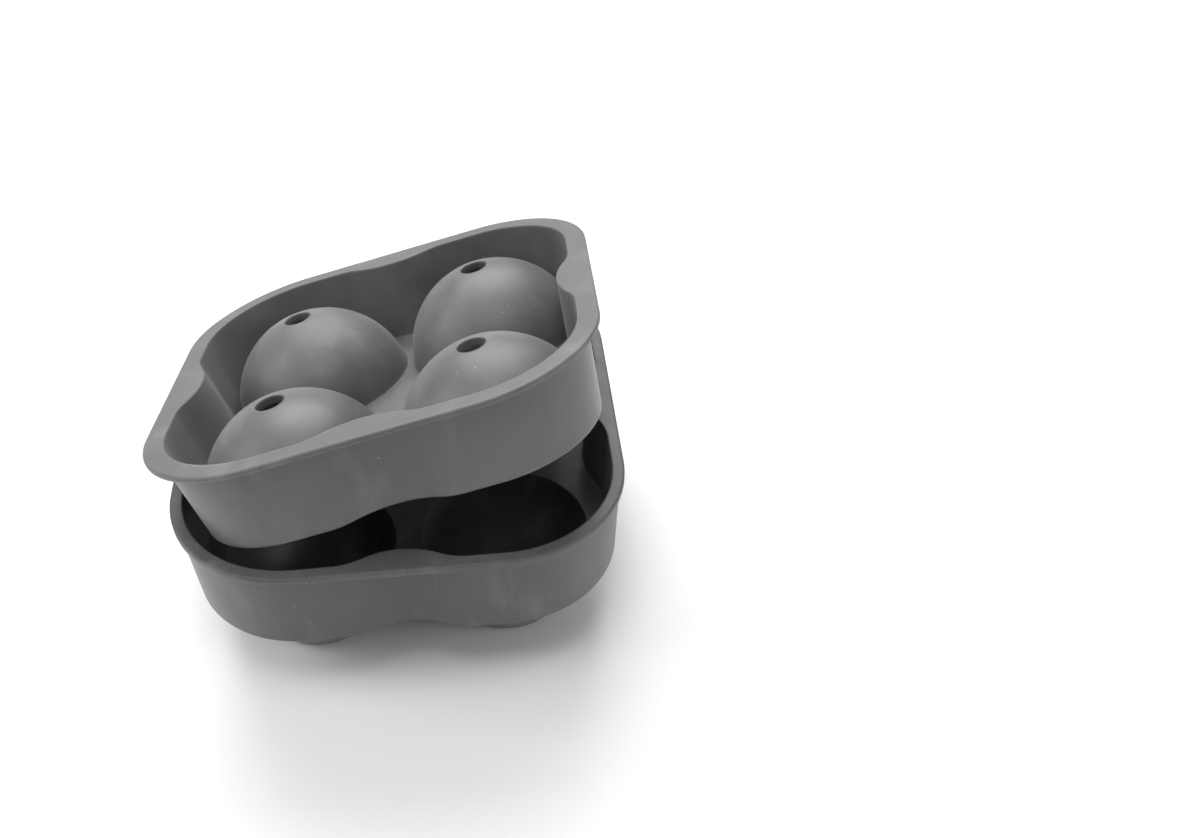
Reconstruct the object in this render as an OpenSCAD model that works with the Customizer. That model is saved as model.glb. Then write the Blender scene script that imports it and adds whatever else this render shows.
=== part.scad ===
// Ice ball mould in soft silicone, made of two moulded halves.
// The lower half stands on the flat feet of its four cups. Its waisted wall ends in
// a flange. The upper half nests inside it: the same waisted wall, a floor on the
// parting plane and four domes, each with a fill hole in its pole.
// The upper half is drawn peeled open about the back left corner of the flange.
//
// Frame: the origin is under the middle of the whole part as it is drawn, at the
// height of the feet. X points right, Y back and Z up. Lengths are in millimetres.

/* [Ice balls] */
// Diameter of one ice ball
ball_d = 45; // [38:0.5:55]
// Distance between the middles of two neighbouring balls
ball_pitch = 52; // [46:0.5:66]
// Diameter of the fill hole in the pole of each dome
fill_d = 7.5; // [6.5:0.25:12]

/* [Silicone] */
// Thickness of the domes and the cups
shell_t = 2.4; // [1.8:0.1:3.4]
// Thickness of the two waisted walls
wall_t = 2.2; // [1.6:0.1:3]
// Thickness of the plate that joins the four cups
deck_t = 3; // [2:0.25:5]
// Thickness of the floor that joins the four domes
floor_t = 2.2; // [1.6:0.1:3.5]
// Thickness of the silicone under each ball
base_t = 2.5; // [2:0.25:5]

/* [Walls] */
// Height of the lower rim above the parting plane
wall_h = 23; // [16:0.5:28]
// Room between a dome and the inner face of the lower rim
lobe_room = 4.3; // [3.5:0.1:8]
// Slope of the lower wall from the vertical, in degrees
lower_draft = 3; // [1:0.25:5]
// Depth of the waist in the middle of each side
waist_depth = 4; // [2:0.25:6]
// Width of one waist, from lobe to lobe
waist_w = 34; // [26:0.5:44]

/* [Flanges] */
// How far the flanges stand out beyond the lower wall at the lobes
lip_w = 1; // [0.5:0.25:4]
// Thickness of the lower flange
lower_lip_t = 2.2; // [1.5:0.1:4]
// Thickness of the upper flange
upper_lip_t = 1.6; // [1.2:0.1:3]
// Radius of the rounded flange edges
lip_edge = 0.6; // [0.3:0.05:0.7]

/* [Feet] */
// Distance from the middle of a foot to the start of its rounded edge
foot_r = 12.5; // [8:0.5:15]
// Radius of the rounded edge of a foot
foot_edge = 3; // [1.5:0.25:5]

/* [Fit and pose] */
// Gap between the two halves where they meet when closed
fit_gap = 0.3; // [0.2:0.05:0.6]
// How far the upper half is peeled open, in degrees
open_angle = 20; // [0:1:60]

/* [Hidden] */
$fn = 96;

ball_r = ball_d / 2;
dome_r = ball_r + shell_t;
lobe_c = ball_pitch / 2;
parting_z = ball_r + base_t;
rim_z = parting_z + wall_h;
deck_z = parting_z - deck_t;
// The upper half sits this much higher than its faces would touch
seat_z = parting_z + fit_gap;
seat_rim_z = rim_z + fit_gap;

// Wall radii are measured from the middle of the nearest ball
lower_slope = tan(lower_draft);
lower_in_top = dome_r + lobe_room;
lower_in_deck = lower_in_top - lower_slope * wall_h;
lower_out_top = lower_in_top + wall_t;
flange_r = lower_out_top + lip_w;

// A wall that swings on the flange corner needs this much room at its foot
corner_reach = lobe_c * sqrt(2) + flange_r;
side_reach = corner_reach + lower_in_top / sqrt(2);
swing = pow(wall_h, 2) / (2 * sqrt(2) * side_reach);
upper_out_top = lower_in_top - fit_gap;
upper_out_floor = lower_in_deck - fit_gap - swing + lower_slope * wall_h / 2;
upper_slope = (upper_out_top - upper_out_floor) / wall_h;

// A waist is one arc that curves in between two arcs that curve out
waist_x = waist_w / 2;
arc_sum = (pow(waist_x, 2) + pow(waist_depth, 2)) / (2 * waist_depth);
waist_turn = asin(waist_x / arc_sum);
shoulder_y = lobe_c + lower_out_top - arc_sum / 2;
waist_y = lobe_c + lower_out_top - waist_depth + arc_sum / 2;
// The arcs cross by this much, so that they meet without a step
arc_lap = 0.03;
// Cutting solids run past the faces that they cut by this much
over = 1;

// The peel line touches the round corner of the flange, midway between the flanges
peel_x = lobe_c + flange_r / sqrt(2);
peel_point = [-peel_x, peel_x, rim_z + fit_gap / 2];
peel_axis = [-1, -1, 0];

// Peeling draws the upper flange out past the lower one, to the left and to the back.
// Half of that moves both halves, which keeps the origin under the middle of the part.
peel_cos = cos(open_angle);
edge_ring_r = flange_r - lip_edge;
edge_ring_z = fit_gap / 2 + upper_lip_t - lip_edge;
ring_reach = edge_ring_r * sqrt((1 + pow(peel_cos, 2)) / 2) + lip_edge;
tilt_reach = peel_x * (1 - peel_cos) + edge_ring_z * sin(open_angle) / sqrt(2);
middle_shift = (ring_reach + tilt_reach - flange_r) / 2;

silicone_grey = [0.36, 0.36, 0.37];

function shoulder_r(r) = lobe_c + r - shoulder_y;
function waist_r(r) = waist_y - (lobe_c + r - waist_depth);
// Where the waist arc meets the shoulder arc
function meet_y(r) = shoulder_y + shoulder_r(r) * cos(waist_turn);

module in_middle() {
  translate([middle_shift, -middle_shift, 0]) children();
}

module at_balls() {
  for (x = [-1, 1], y = [-1, 1])
    translate([x * lobe_c, y * lobe_c, 0]) children();
}

// Extrudes its 2D child along X, with the child's X as Y and the child's Y as Z
module along_x(length) {
  translate([-length / 2, 0, 0])
    rotate([90, 0, 90])
      linear_extrude(length) children();
}

// Rounded square that grows from radius r0 at z0 to radius r1 at z1
module lobed_square(z0, r0, z1, r1) {
  h = z1 - z0;
  b0 = lobe_c + r0;
  b1 = lobe_c + r1;
  translate([0, 0, z0]) {
    at_balls() cylinder(h = h, r1 = r0, r2 = r1);
    for (a = [0, 90])
      rotate(a)
        along_x(ball_pitch) polygon([[-b0, 0], [b0, 0], [b1, h], [-b1, h]]);
  }
}

// Takes the waist out of the front side of a lobed square
module waist_cutter(z0, r0, z1, r1) {
  slope = (r1 - r0) / (z1 - z0);
  a0 = r0 - slope * over;
  a1 = r1 + slope * over;
  h = z1 - z0 + 2 * over;
  far_y = lobe_c + a1 + over;
  translate([0, 0, z0 - over])
    difference() {
      union() {
        along_x(waist_w)
          polygon([[-meet_y(a0), 0], [-meet_y(a1), h], [-far_y, h], [-far_y, 0]]);
        translate([0, -waist_y, 0]) cylinder(h = h, r1 = waist_r(a0), r2 = waist_r(a1));
      }
      for (x = [-waist_x, waist_x])
        translate([x, -shoulder_y, 0])
          cylinder(h = h, r1 = shoulder_r(a0) + arc_lap, r2 = shoulder_r(a1) + arc_lap);
    }
}

// Solid with four lobes and four waists, drafted from radius r0 to radius r1
module waisted(z0, r0, z1, r1) {
  difference() {
    lobed_square(z0, r0, z1, r1);
    for (a = [0:90:270])
      rotate(a) waist_cutter(z0, r0, z1, r1);
  }
}

// Half section of a plate with round edges
module plate_section(half_w, t) {
  square([half_w - lip_edge, t]);
  translate([0, lip_edge]) square([half_w, t - 2 * lip_edge]);
  for (y = [lip_edge, t - lip_edge])
    translate([half_w - lip_edge, y]) circle(lip_edge);
}

// Flange plate: a rounded square with round edges
module flange(z, t) {
  translate([0, 0, z]) {
    at_balls() rotate_extrude() plate_section(flange_r, t);
    for (a = [0:90:270])
      rotate(a) along_x(ball_pitch) plate_section(lobe_c + flange_r, t);
  }
}

// Outer form of one cup, up to the parting plane, with its flat round foot
module cup_form() {
  cup_r = ball_r + base_t;
  dx = foot_r;
  dz = foot_edge - cup_r;
  reach = sqrt(dx * dx + dz * dz);
  turn = atan2(dz, dx) + acos((cup_r - foot_edge) / reach);
  rotate_extrude()
    intersection() {
      square([cup_r, cup_r]);
      union() {
        translate([0, cup_r]) circle(cup_r);
        translate([foot_r, foot_edge]) circle(foot_edge);
        polygon([
          [0, 0],
          [foot_r, 0],
          [foot_r + foot_edge * cos(turn), foot_edge + foot_edge * sin(turn)],
          [cup_r * cos(turn), cup_r + cup_r * sin(turn)],
          [0, cup_r]
        ]);
      }
    }
}

// Half ball that stands on the XY plane
module half_ball(r) {
  rotate_extrude()
    intersection() {
      circle(r);
      square([r, r]);
    }
}

module lower_tray() {
  out_deck = lower_in_deck + wall_t - lower_slope * deck_t;
  in_over = lower_in_top + lower_slope * over;
  color(silicone_grey)
    in_middle()
      difference() {
        union() {
          waisted(deck_z, out_deck, rim_z, lower_out_top);
          flange(rim_z - lower_lip_t, lower_lip_t);
          at_balls() cup_form();
        }
        waisted(parting_z, lower_in_deck, rim_z + over, in_over);
        at_balls() translate([0, 0, parting_z]) sphere(ball_r);
      }
}

// The upper half as it lies when closed
module upper_tray_closed() {
  top_z = seat_rim_z + upper_lip_t;
  in_floor = upper_out_floor + upper_slope * floor_t - wall_t;
  in_over = upper_out_top + upper_slope * (upper_lip_t + over) - wall_t;
  difference() {
    union() {
      difference() {
        union() {
          waisted(seat_z, upper_out_floor, seat_rim_z, upper_out_top);
          flange(seat_rim_z, upper_lip_t);
        }
        waisted(seat_z + floor_t, in_floor, top_z + over, in_over);
      }
      at_balls() translate([0, 0, seat_z]) half_ball(dome_r);
    }
    at_balls() translate([0, 0, seat_z]) sphere(ball_r);
    at_balls() translate([0, 0, seat_z + ball_r / 2]) cylinder(h = ball_r, d = fill_d);
  }
}

module upper_tray() {
  color(silicone_grey)
    in_middle()
      translate(peel_point)
        rotate(a = open_angle, v = peel_axis)
          translate(-peel_point) upper_tray_closed();
}

lower_tray();
upper_tray();
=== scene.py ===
# %% [markdown]
# # An ice ball mould in grey silicone
# The mould is two soft trays. The lower one has four round cups, and the upper
# one, peeled open here, has four domes with a fill hole in each. Both come
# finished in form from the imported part, so this lesson is about what silicone
# looks like: a satin grey skin, soft corners, pale rims and a little dust.

import bpy
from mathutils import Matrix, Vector

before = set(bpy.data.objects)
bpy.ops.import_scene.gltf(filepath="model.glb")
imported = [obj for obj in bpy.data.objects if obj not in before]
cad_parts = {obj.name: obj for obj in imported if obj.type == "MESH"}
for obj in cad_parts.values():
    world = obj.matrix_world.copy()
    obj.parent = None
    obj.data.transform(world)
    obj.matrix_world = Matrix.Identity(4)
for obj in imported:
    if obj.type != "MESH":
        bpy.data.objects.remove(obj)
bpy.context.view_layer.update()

# %% [markdown]
# ## Camera
# The place, the direction and the lens come from matching points on the rims and
# the feet with their places in the picture. The principal point is the middle of
# the picture, so the lens needs no shift.

# %% Camera
CAMERA_AT = Vector((0.0266, -0.2672, 0.2804))
CAMERA_LOOKS = Vector((0.082, 0.739, -0.669))
LENS_MM = 38.28
SENSOR_MM = 36.0
NEAREST_SEEN = 0.01
FARTHEST_SEEN = 20.0

camera_data = bpy.data.cameras.new("camera")
camera_data.lens = LENS_MM
camera_data.sensor_width = SENSOR_MM
camera_data.sensor_fit = "HORIZONTAL"
camera_data.clip_start = NEAREST_SEEN
camera_data.clip_end = FARTHEST_SEEN
camera = bpy.data.objects.new("camera", camera_data)
camera.location = CAMERA_AT
camera.rotation_euler = CAMERA_LOOKS.to_track_quat("-Z", "Y").to_euler()
bpy.context.scene.collection.objects.link(camera)
bpy.context.scene.camera = camera
print("camera at", tuple(CAMERA_AT), "lens", LENS_MM, "mm")

# %% [markdown]
# ## Floor
# The mould stands on a plain pale floor, as in a small studio. A square one would
# show its corners from the side, so it is one flat disc, wide enough for its edge
# to lie far behind the mould, where it is nearly as white as the surroundings. It
# is staging, so it isn't part of the object.

# %% Floor
FLOOR_RADIUS = 0.9
FLOOR_CORNERS = 96
FLOOR_GREY = 0.86
FLOOR_ROUGHNESS = 0.9
FLOOR_GLOSS = 0.1


def grey(value):
    """A grey as a colour with alpha."""
    return (value, value, value, 1.0)


def floor_material():
    material = bpy.data.materials.new("pale_floor")
    material.use_nodes = True
    shader = material.node_tree.nodes["Principled BSDF"]
    shader.inputs["Base Color"].default_value = grey(FLOOR_GREY)
    shader.inputs["Roughness"].default_value = FLOOR_ROUGHNESS
    shader.inputs["Specular IOR Level"].default_value = FLOOR_GLOSS
    return material


bpy.ops.object.select_all(action="DESELECT")
bpy.ops.mesh.primitive_circle_add(vertices=FLOOR_CORNERS, radius=FLOOR_RADIUS, fill_type="NGON")
floor = bpy.context.object
floor.name = "floor"
floor.data.materials.append(floor_material())
print("floor:", 2 * FLOOR_RADIUS, "m across")

# %% [markdown]
# ## Softboxes
# Silicone has a soft, wide gloss, and a small lamp would draw a hard spot on each
# dome. A large light behind and above the mould lays that gloss on every face that
# looks up, so the rims read pale against the walls. Weaker lights above, left and
# right keep the walls and the recess open.

# %% Softboxes
LIGHTS_AIM_AT = (0.0, 0.0, 0.04)
# Name, place in metres, side in metres, power in watts
SOFTBOXES = (
    ("back_softbox", (-0.05, 0.80, 0.95), 1.0, 19.0),
    ("top_softbox", (-0.05, -0.25, 1.20), 0.5, 4.5),
    ("left_softbox", (-1.10, 0.00, 0.80), 0.7, 8.0),
    ("right_fill", (1.05, -0.50, 0.50), 0.45, 3.5),
)


def add_softbox(name, place, side, watts):
    data = bpy.data.lights.new(name, "AREA")
    data.shape = "SQUARE"
    data.size = side
    data.energy = watts
    light = bpy.data.objects.new(name, data)
    light.location = place
    direction = Vector(LIGHTS_AIM_AT) - Vector(place)
    light.rotation_euler = direction.to_track_quat("-Z", "Y").to_euler()
    bpy.context.scene.collection.objects.link(light)


for softbox in SOFTBOXES:
    add_softbox(*softbox)

# %% [markdown]
# ## Node helpers
# A world or a material is a small tree of nodes. The first helper adds a node and
# sets it up, and the second joins one in that maps a range of numbers to another,
# so that each recipe below stays short.


# %% Node helpers
def add_node(tree, kind, **settings):
    """Adds a node and sets its properties or the values of its sockets."""
    node = tree.nodes.new(kind)
    for key, value in settings.items():
        if key in node.inputs:
            node.inputs[key].default_value = value
        else:
            setattr(node, key, value)
    return node


def map_range(tree, value, from_low, from_high, to_low, to_high):
    """The value, with one range of numbers stretched to another and held there."""
    ramp = add_node(tree, "ShaderNodeMapRange")
    for name, number in (("From Min", from_low), ("From Max", from_high),
                         ("To Min", to_low), ("To Max", to_high)):
        ramp.inputs[name].default_value = number
    tree.links.new(value, ramp.inputs["Value"])
    return ramp.outputs["Result"]


print("node helpers:", add_node.__name__, "and", map_range.__name__)

# %% [markdown]
# ## Surroundings
# The picture has a white ground, but surroundings as bright as that would flatten
# the grey walls. The world therefore has two strengths: what the camera sees
# directly is white, and what lights the mould has less than a third of that. The
# picture is shown without a film curve, so that white stays white.

# %% Surroundings
SURROUNDINGS_LIGHT = 0.30
SURROUNDINGS_SEEN = 1.0

world = bpy.data.worlds.new("studio")
world.use_nodes = True
sky = world.node_tree
background = sky.nodes["Background"]
background.inputs["Color"].default_value = grey(1.0)
seen = add_node(sky, "ShaderNodeLightPath").outputs["Is Camera Ray"]
strength = map_range(sky, seen, 0.0, 1.0, SURROUNDINGS_LIGHT, SURROUNDINGS_SEEN)
sky.links.new(strength, background.inputs["Strength"])
bpy.context.scene.world = world
bpy.context.scene.view_settings.view_transform = "Standard"
print("surroundings:", SURROUNDINGS_LIGHT, "as light,", SURROUNDINGS_SEEN, "as seen")

# %% [markdown]
# ## Noise
# The skin of rubber is full of small differences with no order in them. A painted
# texture could show them, but it needs an unwrapped mesh. Noise on Object
# coordinates needs none, has its size in metres, and stays on a tray as it moves.

# %% Noise
MM_IN_A_METRE = 1000
NOISE_ROUGHNESS = 0.55
SHIFT_BY_SEED = (1.0, -1.0, 0.5)


def pattern_place(tree, seed):
    """Object coordinates, moved by the seed so that no two trays match."""
    place = add_node(tree, "ShaderNodeTexCoord")
    shift = add_node(tree, "ShaderNodeMapping")
    shift.inputs["Location"].default_value = [seed * way for way in SHIFT_BY_SEED]
    tree.links.new(place.outputs["Object"], shift.inputs["Vector"])
    return shift.outputs["Vector"]


def noise(tree, here, per_metre, detail, stretch=(1.0, 1.0, 1.0)):
    """Noise with so many waves to a metre; a stretch below one draws it out."""
    squeeze = add_node(tree, "ShaderNodeMapping")
    squeeze.inputs["Scale"].default_value = stretch
    tree.links.new(here, squeeze.inputs["Vector"])
    waves = add_node(tree, "ShaderNodeTexNoise", Scale=per_metre, Detail=detail,
                     Roughness=NOISE_ROUGHNESS)
    tree.links.new(squeeze.outputs["Vector"], waves.inputs["Vector"])
    return waves.outputs["Fac"]


print("noise helpers:", pattern_place.__name__, "and", noise.__name__)

# %% [markdown]
# ## Clouds and streaks
# Moulded silicone is one grey right through, but its skin never reads as one flat
# colour. Handling dulls it in broad clouds, and the rubber leaves streaks where it
# flowed up the walls. Two layers of noise show both, the streaks drawn out in
# height. Together they change the colour and the gloss by a sixth at most, because
# a stronger pattern would read as stone.

# %% Clouds and streaks
CLOUDS_PER_METRE = 32.0
CLOUD_DETAIL = 3.0
CLOUD_SHARE = 0.7
STREAKS_PER_METRE = 160.0
STREAK_DETAIL = 2.0
STREAK_STRETCH = (1.0, 1.0, 0.18)
STREAK_SHARE = 0.3


def combine(tree, operation, first, second):
    """One number from two; each is a socket or a plain number."""
    maths = add_node(tree, "ShaderNodeMath", operation=operation)
    for slot, value in enumerate((first, second)):
        if isinstance(value, (int, float)):
            maths.inputs[slot].default_value = value
        else:
            tree.links.new(value, maths.inputs[slot])
    return maths.outputs["Value"]


def mottle_of(tree, here, clouds):
    """The clouds with the streaks over them, as one pattern."""
    streaks = noise(tree, here, STREAKS_PER_METRE, STREAK_DETAIL, STREAK_STRETCH)
    return combine(tree, "ADD", combine(tree, "MULTIPLY", clouds, CLOUD_SHARE),
                   combine(tree, "MULTIPLY", streaks, STREAK_SHARE))


print("clouds about", round(MM_IN_A_METRE / CLOUDS_PER_METRE), "mm across")
print("streaks about", round(MM_IN_A_METRE / STREAKS_PER_METRE), "mm across")

# %% [markdown]
# ## The grey
# The mottle turns into colour through a ramp with two stops, one a little darker
# than the tray's tone and one a little paler. Ramp stops that lie close
# together use the middle of the noise, where nearly all of its values are.

# %% The grey
DARKEST = 0.84
PALEST = 1.14
DARKEST_AT = 0.32
PALEST_AT = 0.68


def mottled_grey(tree, mottle, tone):
    """The rubber's own colour, which goes darker and paler with the mottle."""
    tint = add_node(tree, "ShaderNodeValToRGB")
    dark, pale = tint.color_ramp.elements
    dark.position = DARKEST_AT
    dark.color = grey(tone * DARKEST)
    pale.position = PALEST_AT
    pale.color = grey(tone * PALEST)
    tree.links.new(mottle, tint.inputs["Fac"])
    return tint.outputs["Color"]


print("the grey varies from", DARKEST, "to", PALEST, "times its tone")

# %% [markdown]
# ## Dust
# The skin of silicone is a little tacky, so it holds lint, and frost dries on it
# as pale spots. Modelled specks would be thousands of tiny pieces. A Voronoi
# pattern has one point in each of its cells, and the places near to a point are
# round specks. A second noise keeps most of them out, because real specks come in
# groups.

# %% Dust
GROUPS_PER_METRE = 38.0
GROUP_DETAIL = 2.0
GROUP_EDGE = 0.04
SPECK_CORE = 0.6
# Cells to a metre, and a speck's radius as a share of its cell
LARGE_SPECKS = (330.0, 0.075)
SMALL_SPECKS = (900.0, 0.11)
MORE_SMALL_SPECKS = 0.06
SMALL_SPECKS_SHOW = 0.5


def specks(tree, here, per_metre, radius, share):
    """One where a speck is and zero between them."""
    cells = add_node(tree, "ShaderNodeTexVoronoi", Scale=per_metre)
    tree.links.new(here, cells.inputs["Vector"])
    dots = map_range(tree, cells.outputs["Distance"], radius, SPECK_CORE * radius, 0.0, 1.0)
    crowd = noise(tree, here, GROUPS_PER_METRE, GROUP_DETAIL)
    groups = map_range(tree, crowd, 1.0 - share, 1.0 - share + GROUP_EDGE, 0.0, 1.0)
    return combine(tree, "MULTIPLY", dots, groups)


def dust_on(tree, here, dusty):
    """Large specks, and more but fainter small ones between them."""
    large = specks(tree, here, *LARGE_SPECKS, dusty)
    small = specks(tree, here, *SMALL_SPECKS, dusty + MORE_SMALL_SPECKS)
    return combine(tree, "MAXIMUM", large, combine(tree, "MULTIPLY", small, SMALL_SPECKS_SHOW))


for per_metre, radius in (LARGE_SPECKS, SMALL_SPECKS):
    print("specks up to", round(2 * radius * MM_IN_A_METRE / per_metre, 2), "mm across")

# %% [markdown]
# ## Dried water
# Water that ran down the walls dries as a faint pale haze. It could be one even
# film, but real haze is patchy, so a noise that is drawn out in height lays wisps
# over the skin, and the broad clouds decide where they show.

# %% Dried water
RUNS_PER_METRE = 95.0
RUN_DETAIL = 4.0
RUN_STRETCH = (1.0, 1.0, 0.3)
WISPS_START_AT = 0.50
WISPS_FULL_AT = 0.74
CLOUDS_START_AT = 0.42
CLOUDS_FULL_AT = 0.60
HAZE_STRENGTH = 0.16


def water_haze(tree, here, clouds):
    """Wisps of dried water, strongest where the broad clouds are pale."""
    runs = noise(tree, here, RUNS_PER_METRE, RUN_DETAIL, RUN_STRETCH)
    wisps = map_range(tree, runs, WISPS_START_AT, WISPS_FULL_AT, 0.0, HAZE_STRENGTH)
    where = map_range(tree, clouds, CLOUDS_START_AT, CLOUDS_FULL_AT, 0.0, 1.0)
    return combine(tree, "MULTIPLY", wisps, where)


print("the haze covers up to", HAZE_STRENGTH, "of the grey")

# %% [markdown]
# ## Dust and haze over the grey
# Dust and dried water are both a pale film on the grey, so the stronger of the two
# wins at each place. The film is mixed over the colour, and the same number later
# makes the skin duller there.

# %% Dust and haze over the grey
DUST_SHOWS = 0.55
FILM_GREY = 0.46


def film_on(tree, here, clouds, dusty):
    """How much of the skin is covered by dust or dried water, from zero to one."""
    dust = dust_on(tree, here, dusty)
    haze = water_haze(tree, here, clouds)
    return combine(tree, "MAXIMUM", combine(tree, "MULTIPLY", dust, DUST_SHOWS), haze)


def socket_named(sockets, identifier):
    """A Mix node has several sockets of one name, so they are told by identifier."""
    return next(s for s in sockets if s.identifier == identifier)


def filmed_colour(tree, film, below):
    """The colour below, with the pale film over it."""
    mix = add_node(tree, "ShaderNodeMix", data_type="RGBA")
    tree.links.new(film, socket_named(mix.inputs, "Factor_Float"))
    tree.links.new(below, socket_named(mix.inputs, "A_Color"))
    socket_named(mix.inputs, "B_Color").default_value = grey(FILM_GREY)
    return socket_named(mix.outputs, "Result_Color")


print("the film is a grey of", FILM_GREY)

# %% [markdown]
# ## Grain and soft corners
# The skin copies the fine blasted finish of the steel mould, so it has a grain that
# only shows close up, and soft rubber is never quite flat, so it has slow waves too.
# Moulded rubber has no sharp corner either: each one is rounded, and a thin pale
# line of gloss runs along it. A bevel could cut that into a mesh, but these meshes
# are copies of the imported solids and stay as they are. The Bevel node rounds the
# corners in the shading alone: it turns the normal within a small radius of an
# edge. The grain and the waves are bumps on top of it.

# %% Grain and soft corners
CORNER_SAMPLES = 8
GRAINS_PER_METRE = 2400.0
GRAIN_DETAIL = 2.0
GRAIN_HEIGHT = 0.0002
GRAIN_STRENGTH = 0.14
WAVE_HEIGHT = 0.0012
WAVE_STRENGTH = 0.25


def skin_normal(tree, here, clouds, soft):
    """The normal of the skin: soft corners, then the grain, then the slow waves."""
    corners = add_node(tree, "ShaderNodeBevel", Radius=soft, samples=CORNER_SAMPLES)
    grain = noise(tree, here, GRAINS_PER_METRE, GRAIN_DETAIL)
    skin = add_node(tree, "ShaderNodeBump", Strength=GRAIN_STRENGTH, Distance=GRAIN_HEIGHT)
    tree.links.new(corners.outputs["Normal"], skin.inputs["Normal"])
    tree.links.new(grain, skin.inputs["Height"])
    wave = add_node(tree, "ShaderNodeBump", Strength=WAVE_STRENGTH, Distance=WAVE_HEIGHT)
    tree.links.new(clouds, wave.inputs["Height"])
    tree.links.new(skin.outputs["Normal"], wave.inputs["Normal"])
    return wave.outputs["Normal"]


print("grains about", round(MM_IN_A_METRE / GRAINS_PER_METRE, 1), "mm across")

# %% [markdown]
# ## One recipe, two trays
# Both trays come from the same rubber, so one recipe makes both. The gloss is dull
# and even, and duller still where the film lies. A little sheen is added, because
# soft rubber scatters light near its outline. The upper tray carries more dust. Its
# grey is set a shade paler than the lower tray's, which is painted light, and the
# lower tray's darker grey is painted shade. The upper tray's corners are rounded by
# 1 mm, and those of the lower tray by 0.7 mm.

# %% Silicone material
SMOOTHEST = 0.40
ROUGHEST = 0.56
SMOOTHEST_AT = 0.35
ROUGHEST_AT = 0.65
FILM_ROUGHENS = 0.3
GLOSS_AND_SHEEN = {"Specular IOR Level": 0.5, "Sheen Weight": 0.12, "Sheen Roughness": 0.4}


def silicone(name, tone, seed, dusty, soft):
    """The skin of one tray: its grey, its own pattern, its dust and its corner radius."""
    material = bpy.data.materials.new(name)
    material.use_nodes = True
    tree = material.node_tree
    link = tree.links.new
    shader = tree.nodes["Principled BSDF"]

    here = pattern_place(tree, seed)
    clouds = noise(tree, here, CLOUDS_PER_METRE, CLOUD_DETAIL)
    mottle = mottle_of(tree, here, clouds)
    film = film_on(tree, here, clouds, dusty)
    colour = filmed_colour(tree, film, mottled_grey(tree, mottle, tone))
    link(colour, shader.inputs["Base Color"])

    bare_skin = map_range(tree, mottle, SMOOTHEST_AT, ROUGHEST_AT, SMOOTHEST, ROUGHEST)
    roughness = combine(tree, "ADD", bare_skin, combine(tree, "MULTIPLY", film, FILM_ROUGHENS))
    link(roughness, shader.inputs["Roughness"])
    link(skin_normal(tree, here, clouds, soft), shader.inputs["Normal"])
    for socket, value in GLOSS_AND_SHEEN.items():
        shader.inputs[socket].default_value = value
    return material


# The two tones differ only as painted light and shade: the lower tray is darkened, the upper
# tray paled.
lower_skin = silicone("lower_silicone", tone=0.082, seed=0.11, dusty=0.40, soft=0.0007)
upper_skin = silicone("upper_silicone", tone=0.104, seed=0.37, dusty=0.47, soft=0.0010)
print("materials:", lower_skin.name, upper_skin.name)

# %% [markdown]
# ## Dress the trays
# Each tray is one moulding, so it takes one material all over. Its mesh and its
# place stay as the frame gives them.


# %% Dress the trays
def dress(node_name, material):
    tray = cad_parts[node_name]
    tray.data.materials.clear()
    tray.data.materials.append(material)
    print(node_name, "faces:", len(tray.data.polygons))


dress("lower_tray", lower_skin)
dress("upper_tray", upper_skin)

# %% [markdown]

# %% [markdown]
# ## Finish
# The last line prints the names of the dressed trays.

# %% Finish
print("dressed:", sorted(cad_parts))
